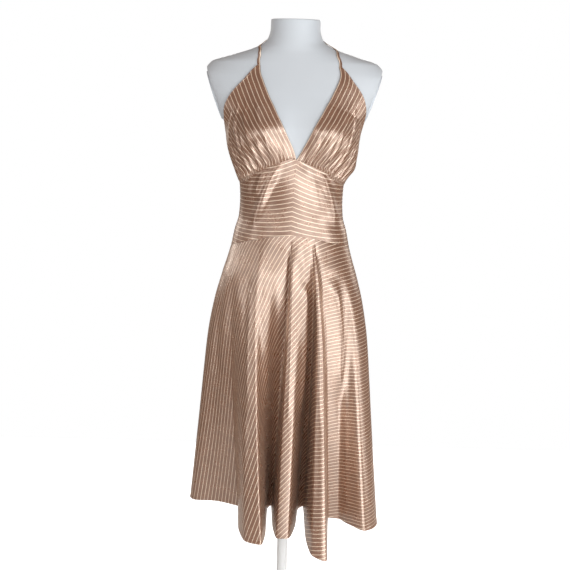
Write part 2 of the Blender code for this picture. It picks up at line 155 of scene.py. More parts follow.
# The turns of the folds, right round from the wearer's right side seam across the front: name,
# bearing at the seam, bearing at the hem, the hem's x, y and z there, share of the way down where
# the fold starts
TURNS = (
    ("right_seam", -90, -90, -0.204, 0.052, 0.375, 0.10),
    ("right_side", -84, -80, -0.2265, -0.006, 0.370, 0.10),
    ("right_panel", -68, -42, -0.152, -0.038, 0.373, 0.16),
    ("valley_a", -49, -27, -0.108, -0.054, 0.370, 0.12),
    ("fold_a_right", -38, -24, -0.101, -0.160, 0.362, 0.16),
    ("fold_a_crest", -31.5, -18.5, -0.082, -0.212, 0.357, 0.16),
    ("fold_a", -26.5, -11.5, -0.049, -0.222, 0.355, 0.02),
    ("fold_a_left", -20, -9.0, -0.0405, -0.180, 0.360, 0.04),
    ("valley_b_right", -4, -8, -0.0385, -0.070, 0.372, 0.03),
    ("valley_b", 0.6, -5.5, -0.029, -0.056, 0.374, 0.02),
    ("fold_b_right", 1.1, -4.5, -0.0235, -0.150, 0.365, 0.02),
    ("fold_b_crest", 1.7, -2.8, -0.013, -0.198, 0.360, 0.01),
    ("fold_b", 5, 1.5, 0.010, -0.200, 0.361, 0.01),
    ("fold_b_left", 11.5, 5.5, 0.0265, -0.150, 0.366, 0.04),
    ("valley_c_right", 15.6, 8, 0.0345, -0.068, 0.373, 0.10),
    ("valley_c", 17.7, 10.5, 0.0465, -0.056, 0.374, 0.08),
    ("fold_c_right", 19, 12.3, 0.0525, -0.180, 0.352, 0.05),
    ("fold_c_crest", 20.1, 15, 0.066, -0.250, 0.346, 0.02),
    ("fold_c", 21, 21, 0.0955, -0.258, 0.338, 0.02),
    ("fold_c_left", 22.5, 24.5, 0.1000, -0.195, 0.345, 0.05),
    ("valley_d", 25, 28, 0.1065, -0.092, 0.363, 0.25),
    ("left_valley", 36, 32, 0.128, -0.090, 0.361, 0.22),
    ("left_panel", 45, 40, 0.150, -0.114, 0.360, 0.12),
    ("fold_d", 56, 58, 0.192, -0.138, 0.355, 0.08),
    ("left_side", 76, 80, 0.2205, -0.092, 0.351, 0.10),
    ("left_seam", 90, 90, 0.215, -0.008, 0.360, 0.10),
    ("back_side", 100, 108, 0.190, 0.050, 0.364, 0.10),
    ("fold_e", 112, 124, 0.182, 0.150, 0.360, 0.12),
    ("fold_e_crest", 121, 136, 0.146, 0.176, 0.360, 0.12),
    ("valley_e", 131, 147, 0.122, 0.070, 0.369, 0.14),
    ("valley_f", 137, 151, 0.112, 0.066, 0.370, 0.14),
    ("fold_f_out", 146, 155, 0.100, 0.160, 0.364, 0.12),
    ("fold_f", 152, 161.5, 0.078, 0.206, 0.358, 0.12),
    ("fold_f_in", 159, 168, 0.050, 0.200, 0.359, 0.12),
    ("valley_g", 167, 172.5, 0.034, 0.066, 0.371, 0.14),
    ("valley_h", 173, 174.5, 0.024, 0.062, 0.372, 0.14),
    ("fold_g_out", 179, 177.5, 0.012, 0.158, 0.366, 0.12),
    ("fold_g", 185, 181.5, -0.008, 0.204, 0.361, 0.12),
    ("fold_g_in", 192, 187, -0.034, 0.198, 0.361, 0.12),
    ("valley_i", 201, 191, -0.050, 0.070, 0.371, 0.14),
    ("valley_j", 208, 194, -0.060, 0.066, 0.371, 0.14),
    ("fold_h_out", 216, 198.5, -0.078, 0.156, 0.364, 0.12),
    ("fold_h", 223, 206, -0.104, 0.196, 0.357, 0.12),
    ("fold_h_in", 231, 214.5, -0.130, 0.186, 0.358, 0.12),
    ("valley_k", 242, 220, -0.148, 0.078, 0.368, 0.12),
    ("back_right_side", 256, 232, -0.178, 0.084, 0.370, 0.10),
)

# The cut of the skirt: each half is a quarter of a ring, with the stripes along one straight edge
WAIST_RADIUS = 0.235
SKIRT_LENGTH = 0.665
STRIPE_PITCH = 0.0105
SKIRT_STRIPES = 0.77    # the skirt's pitch as a share of the bodice's

# How finely each piece is made: steps across and down, steps between two turns of the skirt's
# folds, and steps down the skirt
CUP_STEPS = (120, 110)
MIDRIFF_STEPS = (110, 66)
TURN_STEPS = 13
SKIRT_STEPS = 120

# Edges that turn by more degrees than these look sharp
CLOTH_SHARP = 55
HARD_SHARP = 35


def through(keys, values, at):
    """Smooth curve through the rows (keys, values) that swings no further than its rows do."""
    keys = np.asarray(keys, float)
    values = np.asarray(values, float).reshape(len(keys), -1)
    step = np.diff(keys)[:, None]
    rise = np.diff(values, axis=0) / step
    slope = np.zeros_like(values)
    same = rise[1:] * rise[:-1] > 0
    slope[1:-1][same] = (2 * rise[1:] * rise[:-1])[same] / (rise[1:] + rise[:-1])[same]
    slope[0], slope[-1] = rise[0], rise[-1]
    at = np.clip(np.atleast_1d(np.asarray(at, float)), keys[0], keys[-1])
    i = np.clip(np.searchsorted(keys, at) - 1, 0, len(keys) - 2)
    h, t = step[i], ((at - keys[i]) / step[i, 0])[:, None]
    return (
        values[i] * (1 + 2 * t) * (1 - t) ** 2 + values[i + 1] * t * t * (3 - 2 * t)
        + slope[i] * h * t * (1 - t) ** 2 - slope[i + 1] * h * t * t * (1 - t)
    )


def columns(table, at, *wanted):
    """The wanted columns of a table, read smoothly where its first column has the values at."""
    rows = np.array([[row[0], *(row[i] for i in wanted)] for row in table], float)
    return through(rows[:, 0], rows[:, 1:], at).T


def ease(low, high, at):
    """Rises smoothly from 0 at low to 1 at high."""
    t = np.clip((np.asarray(at, float) - low) / (high - low), 0, 1)
    return t * t * (3 - 2 * t)


def section(bearing, half_width, front, behind, squareness):
    """Points of a rounded section at the bearings, as x and y."""
    s, c = np.sin(np.radians(bearing)), np.cos(np.radians(bearing))
    power = 2 / squareness
    x = half_width * np.sign(s) * np.abs(s) ** power
    y = np.where(c > 0, -front, behind) * np.abs(c) ** power
    return x, y


def bust(x, y, z):
    """How far the bust stands out in front at these places."""
    out, height, breadth, tall, swell = BUST
    mound = np.exp(-(((np.abs(x) - out) / breadth) ** 2) - ((z - height) / tall) ** 2)
    return np.where(y < 0, swell * mound, 0)


def skin(bearing, z):
    """Points on the form's skin."""
    bearing, z = np.broadcast_arrays(np.asarray(bearing, float), np.asarray(z, float))
    x, y = section(bearing.ravel(), *columns(FORM, z.ravel(), 1, 2, 3, 4))
    y = y - bust(x, y, z.ravel())
    return np.stack([x, y, z.ravel()], axis=1).reshape(*bearing.shape, 3)


def off_skin(bearing, z, out):
    """Points that stand clear of the form's skin by out, square to it."""
    turn, rise = 0.5, 0.0005
    along = skin(bearing + turn, z) - skin(bearing - turn, z)
    up = skin(bearing, z + rise) - skin(bearing, z - rise)
    normal = np.cross(along, up)
    normal /= np.linalg.norm(normal, axis=-1, keepdims=True)
    return skin(bearing, z) + normal * np.asarray(out, float)[..., None]


def both_sides(table, bearing):
    """Height of a seam at these bearings, from a table of one side that serves both."""
    return columns(table, np.abs((np.asarray(bearing, float) + 180) % 360 - 180), 1)[0]


def seam_ring(bearing):
    """The seam between midriff and skirt at these bearings."""
    return off_skin(bearing, both_sides(SKIRT_SEAM, bearing), np.full(bearing.shape, ON_FORM))


def turn_index(name):
    """The place in the table of the turn with this name."""
    return [turn[0] for turn in TURNS].index(name)


def level(share, first, last):
    """One level of the skirt between two turns of its folds."""
    half_width, front, behind = columns(SKIRT, share, 1, 2, 3)[:, 0]
    hem_size = columns(SKIRT, 1.0, 1, 2, 3)[:, 0]
    at, moved = [], []
    for _, seam_bearing, hem_bearing, x, y, z, start in TURNS:
        hem_x, hem_y = section(np.array([hem_bearing]), *hem_size, SKIRT_SQUARENESS)
        strength = max(0.0, (share - start) / (1 - start))
        at.append(seam_bearing + (hem_bearing - seam_bearing) * share)
        moved.append((strength * (x - hem_x[0]), strength * (y - hem_y[0]), z))
    turns = len(TURNS)
    rounds = np.arange(-3, turns + 4)
    at = np.array(at)[rounds % turns] + 360 * (rounds // turns)
    moved = np.array(moved)[rounds % turns]
    column = np.linspace(first, last, (last - first) * TURN_STEPS + 1)
    bearing = through(rounds, at, column)[:, 0]
    shift = through(at, moved, bearing)
    x, y = section(bearing, half_width, front, behind, SKIRT_SQUARENESS)
    seam = seam_ring(bearing)
    z = seam[:, 2] + (shift[:, 2] - seam[:, 2]) * share
    points = np.stack([x + shift[:, 0], y + shift[:, 1], z], axis=1)
    top_x, top_y = section(bearing, *columns(SKIRT, 0.0, 1, 2, 3)[:, 0], SKIRT_SQUARENESS)
    near_seam = (1 - share) ** SEAM_HOLD
    points[:, 0] += (seam[:, 0] - top_x) * near_seam
    points[:, 1] += (seam[:, 1] - top_y) * near_seam
    return points


def lengths(grid, axis):
    """Length along the grid's lines from their first point, down or across."""
    step = np.linalg.norm(np.diff(grid, axis=axis), axis=2)
    start = np.zeros_like(np.take(step, [0], axis=axis))
    return np.concatenate([start, np.cumsum(step, axis=axis)], axis=axis)


def outward(grid):
    """Unit normals of a grid whose rows run down and whose columns run towards the wearer's left."""
    normal = np.cross(np.gradient(grid, axis=0), np.gradient(grid, axis=1))
    return normal / np.linalg.norm(normal, axis=2, keepdims=True)


def creases(rows, x, z):
    """Relief of soft creases. Each row has the x and height of the crease's start and of its end,
    how far it bows aside, its half width and its height."""
    relief = np.zeros(x.shape)
    for start_x, start_z, end_x, end_z, bow, half_width, height in rows:
        run_x, run_z = end_x - start_x, end_z - start_z
        run = math.hypot(run_x, run_z)
        t = ((x - start_x) * run_x + (z - start_z) * run_z) / run ** 2
        off = ((x - start_x) * run_z - (z - start_z) * run_x) / run - bow * 4 * t * (1 - t)
        fade = ease(-0.05, 0.28, t) * ease(-0.05, 0.28, 1 - t)
        relief += height * fade * np.exp(-((off / half_width) ** 2))
    return relief


def run_creases(rows, grid, column, share):
    """Relief of creases that run down the cloth. Each row has the crease's height, its half widths
    towards the wearer's right and left, and the places that it passes as (share, column)."""
    relief = np.zeros(column.shape)
    run = lengths(grid, 1)
    for height, right_width, left_width, places in rows:
        places = np.array(places)
        path = through(places[:, 0], places[:, 1], share[:, 0])[:, 0]
        at = np.array([np.interp(c, col, r) for c, col, r in zip(path, column, run)])
        off = run - at[:, None]
        width = np.where(off < 0, right_width, left_width)
        first, last = places[0, 0], places[-1, 0]
        fade = ease(first - 0.03, first + 0.05, share) * ease(last + 0.02, last - 0.12, share)
        relief += height * fade * np.exp(-((off / width) ** 2))
    return relief


def thickness(from_edge):
    """Thickness of cloth whose edge is turned over, by the distance from that edge."""
    return THIN + (FOLDED - THIN) * (1 - ease(TURNING * TURNING_SLOPE, TURNING, from_edge))


def in_scene(name, data):
    """An object of the scene with this mesh, camera or lamp."""
    made = bpy.data.objects.new(name, data)
    bpy.context.scene.collection.objects.link(made)
    return made


def smoothed(name, mesh, finish, sharp):
    """A piece with this mesh and finish, shaded smooth but at edges that turn more than an angle."""
    mesh.materials.append(finish)
    mesh.shade_smooth()
    mesh.set_sharp_from_angle(angle=math.radians(sharp))
    return in_scene(name, mesh)


def cloth(name, grid, cut, thick, finish):
    """A wall of cloth through a grid of points, with the cut's flat places as its UV map."""
    rows, cols = grid.shape[:2]
    out = outward(grid) * thick[..., None] / 2
    points = np.concatenate([(grid + out).reshape(-1, 3), (grid - out).reshape(-1, 3)])
    count = rows * cols
    r, c = np.meshgrid(np.arange(rows - 1), np.arange(cols - 1), indexing="ij")
    corner = (r * cols + c).ravel()
    face = np.stack([corner, corner + cols, corner + cols + 1, corner + 1], axis=1)
    edge = np.concatenate([
        np.arange(cols), np.arange(1, rows) * cols + cols - 1,
        (rows - 1) * cols + np.arange(cols - 2, -1, -1), np.arange(rows - 2, 0, -1) * cols,
    ])
    beyond = np.roll(edge, -1)
    rim = np.stack([edge, beyond, beyond + count, edge + count], axis=1)
    faces = np.concatenate([face, face[:, ::-1] + count, rim])
    mesh = bpy.data.meshes.new(name)
    mesh.from_pydata(points, [], faces.tolist())
    flat = np.concatenate([cut.reshape(-1, 2)] * 2)
    layer = mesh.uv_layers.new(name="Cut")
    corners = np.zeros(len(mesh.loops), dtype=int)
    mesh.loops.foreach_get("vertex_index", corners)
    layer.data.foreach_set("uv", flat[corners].astype(np.float32).ravel())
    return smoothed(name, mesh, finish, CLOTH_SHARP)


def half_bearings(side, steps):
    """Bearings of a front half's columns along the under-bust seam, from the centre outward."""
    share = np.linspace(0, 1, steps + 1)
    return CENTRE_SEAM_TOP + (side * SIDE_SEAM - CENTRE_SEAM_TOP) * share


def cup_grid(side):
    """Grid of a cup from the under-bust seam up to the strap, neckline to armhole."""
    steps, rows = CUP_STEPS
    neck, arm = (1, 4) if side < 0 else (2, 5)
    up = np.linspace(0, 1, rows + 1)
    neck_bearing, arm_height, arm_bearing = columns(CUP, up, neck, 3, arm)
    neck_height = CUP_FOOT + (CUP_TIP - CUP_FOOT) * up
    across = np.linspace(0, 1, steps + 1)
    bearing = neck_bearing[:, None] + (arm_bearing - neck_bearing)[:, None] * across
    height = neck_height[:, None] + (arm_height - neck_height)[:, None] * across
    foot = half_bearings(side, steps)
    near = (1 - up[:, None]) ** 3
    bearing += near * (foot - bearing[0])
    height += near * (both_sides(UNDER_BUST, foot) - height[0])
    height[0] += SEAM_GAP / 2
    bearing[:, 0] += side * np.degrees(SEAM_GAP / 2 / CUP_RADIUS) * (1 - up) ** 8
    rise = np.sin(np.pi * np.clip(up * 1.7, 0, 1))[:, None] ** 0.7
    full = CUP_FULLNESS * rise * np.sin(np.pi * across) ** 0.6
    span = CUP_EASE * np.sin(np.pi * np.clip(up * 0.98, 0, 1))[:, None] ** 0.5
    out = ON_FORM + span + full
    if side > 0:
        puff_up, puff_across, tall, wide, stands = CUP_PUFF
        rows_off, columns_off = (up[:, None] - puff_up) / tall, (across - puff_across) / wide
        out += stands * np.exp(-(rows_off ** 2) - columns_off ** 2)
        out[0] = ON_FORM
    return off_skin(bearing, height, out), up[:, None] + 0 * across, across + 0 * up[:, None]


# Gathers of each cup, a row for each: share across at the seam, share across at its upper end,
# share of the way up that it reaches, half width across, height
GATHERS_RIGHT = (
    (0.10, 0.08, 0.42, 0.014, 0.0030),
    (0.18, 0.19, 0.64, 0.014, 0.0040),
    (0.25, 0.28, 0.47, 0.012, 0.0040),
    (0.32, 0.36, 0.70, 0.013, 0.0046),
    (0.39, 0.46, 0.50, 0.012, 0.0042),
    (0.46, 0.54, 0.74, 0.013, 0.0048),
    (0.52, 0.62, 0.46, 0.012, 0.0042),
    (0.59, 0.70, 0.66, 0.013, 0.0046),
    (0.66, 0.80, 0.44, 0.013, 0.0040),
    (0.74, 0.87, 0.48, 0.013, 0.0032),
    (0.84, 0.95, 0.28, 0.014, 0.0022),
)
GATHERS_LEFT = (
    (0.08, 0.08, 0.36, 0.012, 0.0030),
    (0.15, 0.17, 0.58, 0.013, 0.0040),
    (0.22, 0.26, 0.42, 0.011, 0.0040),
    (0.28, 0.33, 0.66, 0.012, 0.0046),
    (0.35, 0.44, 0.44, 0.011, 0.0042),
    (0.41, 0.52, 0.68, 0.012, 0.0048),
    (0.48, 0.63, 0.44, 0.011, 0.0042),
    (0.54, 0.71, 0.60, 0.012, 0.0046),
    (0.61, 0.82, 0.40, 0.012, 0.0042),
    (0.68, 0.91, 0.28, 0.011, 0.0030),
)


def gather_relief(rows, up, across):
    """Relief of the gathers that run up from the seam under the bust."""
    relief = np.zeros(up.shape)
    for seam_at, end_at, reach, half_width, height in rows:
        run = np.clip(up / reach, 0, 1)
        off = across - (seam_at + (end_at - seam_at) * run ** 0.8)
        wide = half_width * (1 + 0.9 * run)
        relief += height * ease(0, 0.10, run) * (1 - run) ** 0.7 * np.exp(-((off / wide) ** 2))
    return relief


def make_cup(name, side, gathers, finish):
    """A gathered cup: stripes along the neckline, closer together where the gathers take them in."""
    grid, up, across = cup_grid(side)
    held = ease(0, 0.03, up) * ease(0, 0.02, across) * ease(0, 0.02, 1 - across)
    relief = gather_relief(gathers, up, across) * held
    if side < 0:
        grid, up, across, relief = (part[:, ::-1] for part in (grid, up, across, relief))
    grid, up, across, relief = (part[::-1] for part in (grid, up, across, relief))
    grid = grid + outward(grid) * relief[..., None]
    wide = lengths(grid, 1)
    from_neck = wide[:, -1:] - wide if side < 0 else wide
    down = lengths(grid, 0)
    fuller = 1 + GATHERED_IN * (1 - ease(0, 0.45, up))
    cut = np.stack([from_neck * fuller * CUP_SPREAD + NECKLINE_AT, down], axis=2)
    edge = np.minimum(across, 1 - across) * wide[:, -1:]
    return cloth(name, grid, cut, thickness(edge), finish), grid


def midriff_grid(bearings, top_bearings, top):
    """Grid of a midriff panel from its top edge down to the skirt seam."""
    high = top - SEAM_GAP / 2
    low = both_sides(SKIRT_SEAM, bearings) + SEAM_GAP / 2
    down = np.linspace(0, 1, MIDRIFF_STEPS[1] + 1)[:, None]
    z = high + (low - high) * down
    bearing = top_bearings + (bearings - top_bearings) * down
    return off_skin(bearing, z, np.full(z.shape, ON_FORM))


# Drag lines of the midriff, a row for each: x and height of its start, of its end, bow, half
# width, height
DRAGS_RIGHT = (
    (-0.030, 1.192, -0.084, 1.044, 0.004, 0.0095, 0.0062),
    (-0.058, 1.178, -0.079, 1.112, 0.002, 0.0070, 0.0045),
    (-0.088, 1.158, -0.098, 1.116, 0.002, 0.0055, 0.0016),
)
DRAGS_LEFT = (
    (0.026, 1.196, 0.070, 1.070, -0.006, 0.0140, 0.0032),
    (0.054, 1.188, 0.100, 1.050, -0.006, 0.0090, 0.0050),
)
CHEVRON_SLOPE = (0.22, 1.05, 2.33)   # slope at a height, that height, how it steepens upwards
CHEVRON_REACH = 0.09    # how far out from the centre seam the stripes flatten
LEAN = 0.079            # how far the stripes drop for each metre towards the wearer's left
DRAG_LIFT = 0.0002      # holds the drawn cloth off the skin


def chevron(grid, seam):
    """Stripes' coordinate on the front midriff: they rise to the centre seam and flatten outwards."""
    slope, height, steepens = CHEVRON_SLOPE
    away = np.abs(grid[..., 0] - seam)
    reach = CHEVRON_REACH * (1 - np.exp(-away / CHEVRON_REACH))
    rise = grid[..., 2] + LEAN * grid[..., 0]
    return (rise + reach * (slope - steepens * height)) / (1 - steepens * reach)


def make_midriff_half(name, side, drags, finish):
    """A front half of the midriff, drawn into diagonal lines from the bust to the waist."""
    steps = MIDRIFF_STEPS[0]
    seam = side * SIDE_SEAM * np.linspace(0, 1, steps + 1)
    top_bearings = half_bearings(side, steps)
    grid = midriff_grid(seam, top_bearings, both_sides(UNDER_BUST, top_bearings))
    if side < 0:
        grid = grid[:, ::-1]
    rows = np.linspace(0, 1, grid.shape[0])[:, None]
    held = ease(0, 0.06, rows) * ease(0, 0.06, 1 - rows)
    relief = creases(drags, grid[..., 0], grid[..., 2]) * held
    centre = grid[:, -1:, 0] if side < 0 else grid[:, :1, 0]
    across = chevron(grid, centre)
    cut = np.stack([across, lengths(grid, 1)], axis=2)
    grid = grid + outward(grid) * (relief + DRAG_LIFT)[..., None]
    return cloth(name, grid, cut, np.full(across.shape, THIN), finish)


def make_midriff_back(name, finish):
    """The back band of the midriff, its upper edge turned over."""
    steps = 2 * MIDRIFF_STEPS[0]
    back = SIDE_SEAM + (360 - 2 * SIDE_SEAM) * np.linspace(0, 1, steps + 1)
    grid = midriff_grid(back, back, both_sides(BACK_EDGE, back))
    cut = np.stack([grid[..., 2], lengths(grid, 1)], axis=2)
    return cloth(name, grid, cut, thickness(lengths(grid, 0)), finish), grid


# Creases of the front skirt, a row for each: height, half width towards the wearer's right and
# left, and the (share, column) places that it passes
CREASES_FRONT = (
    (-0.0030, 0.0120, 0.0120, ((0.12, 1.9), (0.30, 2.0), (0.55, 2.0))),
    (0.0020, 0.0140, 0.0100, ((0.14, 3.3), (0.30, 3.4), (0.60, 3.4))),
    (0.0030, 0.0090, 0.0080, ((0.10, 5.2), (0.30, 5.3), (0.60, 5.3))),
    (0.0030, 0.0130, 0.0110, ((0.14, 7.3), (0.30, 7.4), (0.60, 7.4))),
    (-0.0035, 0.0050, 0.0025, ((0.04, 9.2), (0.20, 9.2), (0.50, 9.3))),
    (0.0030, 0.0030, 0.0080, ((0.05, 11.3), (0.20, 11.3), (0.60, 11.5))),
    (0.0070, 0.0120, 0.0060, ((0.16, 13.0), (0.32, 13.1), (0.60, 13.0))),
    (0.0025, 0.0050, 0.0060, ((0.16, 17.3), (0.30, 17.4), (0.60, 17.4))),
    (-0.0030, 0.0025, 0.0070, ((0.18, 19.4), (0.30, 19.6), (0.50, 19.7))),
    (0.0065, 0.0200, 0.0080, ((0.14, 21.2), (0.30, 21.3), (0.55, 21.2))),
)
CREASES_BACK = (
    (-0.0050, 0.0050, 0.0040, ((0.04, 29.4), (0.20, 29.6), (0.45, 29.7), (0.70, 29.5))),
    (0.0040, 0.0060, 0.0070, ((0.05, 31.8), (0.20, 32.0), (0.50, 32.0), (0.75, 32.1))),
    (-0.0055, 0.0045, 0.0045, ((0.03, 34.2), (0.18, 34.5), (0.42, 34.6), (0.66, 34.5))),
    (0.0040, 0.0050, 0.0070, ((0.04, 36.6), (0.22, 37.0), (0.50, 37.1), (0.80, 37.0))),
    (-0.0055, 0.0040, 0.0050, ((0.03, 39.3), (0.16, 39.5), (0.40, 39.4), (0.62, 39.5))),
    (0.0040, 0.0070, 0.0060, ((0.05, 42.2), (0.24, 42.0), (0.50, 42.1), (0.80, 42.0))),
    (-0.0035, 0.0090, 0.0090, ((0.12, 44.3), (0.30, 44.2), (0.60, 44.3))),
)


def make_skirt_half(name, first, last, rows, finish):
    """Half of the skirt between its side seams, its hem turned up."""
    down = np.linspace(0, 1, SKIRT_STEPS + 1)
    grid = np.array([level(share, first, last) for share in down])
    column = np.linspace(first, last, grid.shape[1])[None, :] + 0 * down[:, None]
    share = down[:, None] + 0 * column
    relief = run_creases(rows, grid, column, share)
    grid = grid + outward(grid) * relief[..., None]
    grid[0, :, 2] -= SEAM_GAP / 2
    for end, beside in ((0, 1), (-1, -2)):
        along = grid[:, beside] - grid[:, end]
        grid[:, end] += along * SEAM_GAP / 2 / np.linalg.norm(along, axis=1, keepdims=True)
    run = lengths(grid, 1)
    angle = run / run[:, -1:] * math.pi / 2
    radius = WAIST_RADIUS + SKIRT_LENGTH * down[:, None]
    cut = np.stack([radius * np.sin(angle), radius * np.cos(angle)], axis=2) / SKIRT_STRIPES
    hem = SKIRT_LENGTH * (1 - down)[:, None] + 0 * run
    return cloth(name, grid, cut, thickness(hem), finish), grid


def make_strap(name, finish):
    """The halter strap, a turned narrow band from cup to cup round the nape."""
    route = np.array([(bearing - 360 if bearing > 0 else bearing, z) for bearing, z in STRAP])
    step = np.hypot(np.diff(route[:, 0]) * ROUND_NECK, np.diff(route[:, 1]))
    run = np.concatenate([[0], np.cumsum(step)])
    path = through(run, route, np.linspace(0, run[-1], STRAP_STEPS))
    for _ in range(STRAP_SMOOTHING):
        path[1:-1] = (path[:-2] + path[1:-1] * 2 + path[2:]) / 4
    middle = off_skin(path[:, 0], path[:, 1], np.full(len(path), STRAP_EASE + WALL / 2))
    outer = off_skin(path[:, 0], path[:, 1], np.full(len(path), STRAP_EASE + WALL))
    along = np.gradient(middle, axis=0)
    across = np.cross(along, outer - middle)
    across /= np.linalg.norm(across, axis=1, keepdims=True)
    share = np.linspace(-1, 1, 9)
    grid = middle[:, None] + across[:, None] * (share * STRAP_WIDTH / 2)[None, :, None]
    crown = (1 - share ** 2) * STRAP_CROWN
    grid = grid + (outer - middle)[:, None] / (WALL / 2) * crown[None, :, None]
    grid = grid[:, ::-1]
    cut = np.stack([lengths(grid, 1) + STRAP_AT, lengths(grid, 0)], axis=2)
    return cloth(name, grid, cut, np.full(cut.shape[:2], STRAP_THICKNESS), finish)


class Socket:
    """A node's output that takes Python sums: each one adds a Math node."""

    def __init__(self, nodes, socket):
        self.nodes, self.socket = nodes, socket

    def math(self, operation, *values):
        """A Math node on these values."""
        return self.nodes.add("ShaderNodeMath", {"operation": operation}, *values)

    def __add__(self, other):
        return self.math("ADD", self, other)

    __radd__ = __add__

    def __sub__(self, other):
        return self.math("SUBTRACT", self, other)

    def __rsub__(self, other):
        return self.math("SUBTRACT", other, self)

    def __mul__(self, other):
        return self.math("MULTIPLY", self, other)

    __rmul__ = __mul__

    def __truediv__(self, other):
        return self.math("DIVIDE", self, other)

    def __rtruediv__(self, other):
        return self.math("DIVIDE", other, self)

    def __abs__(self):
        return self.math("ABSOLUTE", self)

    def part(self):
        """What is left of it after its whole number."""
        return self.math("FRACT", self)

    def wave(self):
        """Sine of it as an angle."""
        return self.math("SINE", self)

    def between(self, low, high):
        """Rises smoothly from 0 at low to 1 at high, and falls where low is above high."""
        smooth = {"interpolation_type": "SMOOTHSTEP"}
        return self.nodes.add("ShaderNodeMapRange", smooth, self, low, high)


class Nodes:
    """A node tree that nodes are added to."""

    def __init__(self, tree):
        self.tree = tree

    def put(self, socket, value):
        """Links or sets one socket; a colour is given as red, green and blue."""
        if isinstance(value, Socket):
            self.tree.links.new(value.socket, socket)
            return
        if socket.type == "RGBA":
            value = (*value, 1)
        socket.default_value = value

    def add(self, kind, settings, *values, output=0, **named):
        """Adds a node: its settings first, then its open inputs in order or by name."""
        node = self.tree.nodes.new(kind)
        for key, value in settings.items():
            setattr(node, key, value)
        for socket, value in zip([socket for socket in node.inputs if socket.enabled], values):
            self.put(socket, value)
        for key, value in named.items():
            self.put(node.inputs[key.replace("_", " ")], value)
        if isinstance(output, str):
            return Socket(self, node.outputs[output])
        given = [socket for socket in node.outputs if socket.enabled]
        return Socket(self, given[output]) if given else None


class Finish(Nodes):
    """A material's nodes."""

    def __init__(self, name):
        self.material = bpy.data.materials.new(name)
        self.material.use_nodes = True
        super().__init__(self.material.node_tree)

    def mix(self, factor, one, other):
        """One colour into another by a factor."""
        return self.add("ShaderNodeMix", {"data_type": "RGBA"}, factor, one, other)

    def noise(self, place, scale, detail=2.0):
        """Soft random clouds, finer with a greater scale."""
        return self.add("ShaderNodeTexNoise", {}, Vector=place, Scale=scale, Detail=detail)

    def object_place(self):
        """Where a point lies on its object."""
        return self.add("ShaderNodeTexCoord", {}, output="Object")

    def bump(self, height, distance):
        """A surface that seems raised by a height."""
        return self.add("ShaderNodeBump", {}, Height=height, Distance=distance, Strength=1.0)

    def set(self, **values):
        """Values or links of the shader's sockets."""
        shader = self.tree.nodes["Principled BSDF"]
        for key, value in values.items():
            self.put(shader.inputs[key.replace("_", " ")], value)
        return self.material


# Satin
BROWN = (0.284, 0.131, 0.079)
BROWN_DEEP = (0.228, 0.100, 0.060)
CREAM = (0.950, 0.800, 0.640)
CREAM_PINK = (0.880, 0.680, 0.500)
SATIN_SHINE = (1.0, 0.93, 0.84)
SATIN_SHEEN = (1.0, 0.86, 0.74)
STRIPE_HALF = 0.0005    # half the stripe's width
STRIPE_SOFT = 0.0005    # how far its edge takes to fade
WEAVE = 0.0007          # from one thread to the next
WEAVE_RELIEF = 0.00001

# Sewing thread, the form's plastic and the stand's paint: two tones each
THREAD_TONES = ((0.42, 0.22, 0.14), (0.30, 0.15, 0.09))
PLASTIC_TONES = ((0.618, 0.660, 0.712), (0.584, 0.630, 0.684))
PAINT_TONES = ((0.86, 0.865, 0.87), (0.82, 0.825, 0.83))


def striped_satin():
    """Brown satin with woven cream stripes."""
    finish = Finish("striped_satin")
    cut = finish.add("ShaderNodeUVMap", {"uv_map": "Cut"})
    across = finish.add("ShaderNodeSeparateXYZ", {}, cut, output="X")
    along = finish.add("ShaderNodeSeparateXYZ", {}, cut, output="Y")
    off = abs((across / STRIPE_PITCH).part() - 0.5) * STRIPE_PITCH
    stripe = off.between(STRIPE_HALF + STRIPE_SOFT, STRIPE_HALF)
    cloudy = finish.noise(cut, 34.0)
    threads = (across * (2 * math.pi / WEAVE)).wave() * (along * (2 * math.pi / WEAVE)).wave()
    brown = finish.mix(cloudy.between(0.35, 0.65), BROWN, BROWN_DEEP)
    slub = finish.noise(finish.add("ShaderNodeCombineXYZ", {}, across * 9.0, along * 0.6), 120.0)
    cream = finish.mix(slub.between(0.3, 0.7), CREAM, CREAM_PINK)
    return finish.set(
        Base_Color=finish.mix(stripe, brown, cream),
        Roughness=stripe * 0.05 + cloudy * 0.06 + 0.25,
        Metallic=stripe * -0.10 + 0.30,
        IOR=2.1,
        Specular_IOR_Level=1.0,
        Specular_Tint=SATIN_SHINE,
        Sheen_Weight=0.05,
        Sheen_Roughness=0.4,
        Sheen_Tint=SATIN_SHEEN,
        Normal=finish.bump(threads + stripe * 1.5, WEAVE_RELIEF),
    )


def sewing_thread():
    """Sewing thread in the satin's brown."""
    finish = Finish("sewing_thread")
    lay = finish.noise(finish.object_place(), 2600.0)
    return finish.set(
        Base_Color=finish.mix(lay.between(0.3, 0.7), *THREAD_TONES),
        Roughness=0.55,
        Normal=finish.bump(lay, 0.0001),
    )


def form_plastic():
    """Pale grey moulded plastic."""
    finish = Finish("form_plastic")
    place = finish.object_place()
    cloud = finish.noise(place, 7.0)
    return finish.set(
        Base_Color=finish.mix(cloud.between(0.3, 0.7), *PLASTIC_TONES),
        Roughness=cloud * 0.12 + 0.40,
        Normal=finish.bump(finish.noise(place, 900.0, 3.0), 0.00004),
    )


def stand_paint():
    """White powder coat, finely pebbled."""
    finish = Finish("stand_paint")
    place = finish.object_place()
    pebble = finish.noise(place, 1300.0)
    return finish.set(
        Base_Color=finish.mix(finish.noise(place, 12.0).between(0.3, 0.7), *PAINT_TONES),
        Roughness=pebble * 0.10 + 0.32,
        Normal=finish.bump(pebble, 0.00005),
    )


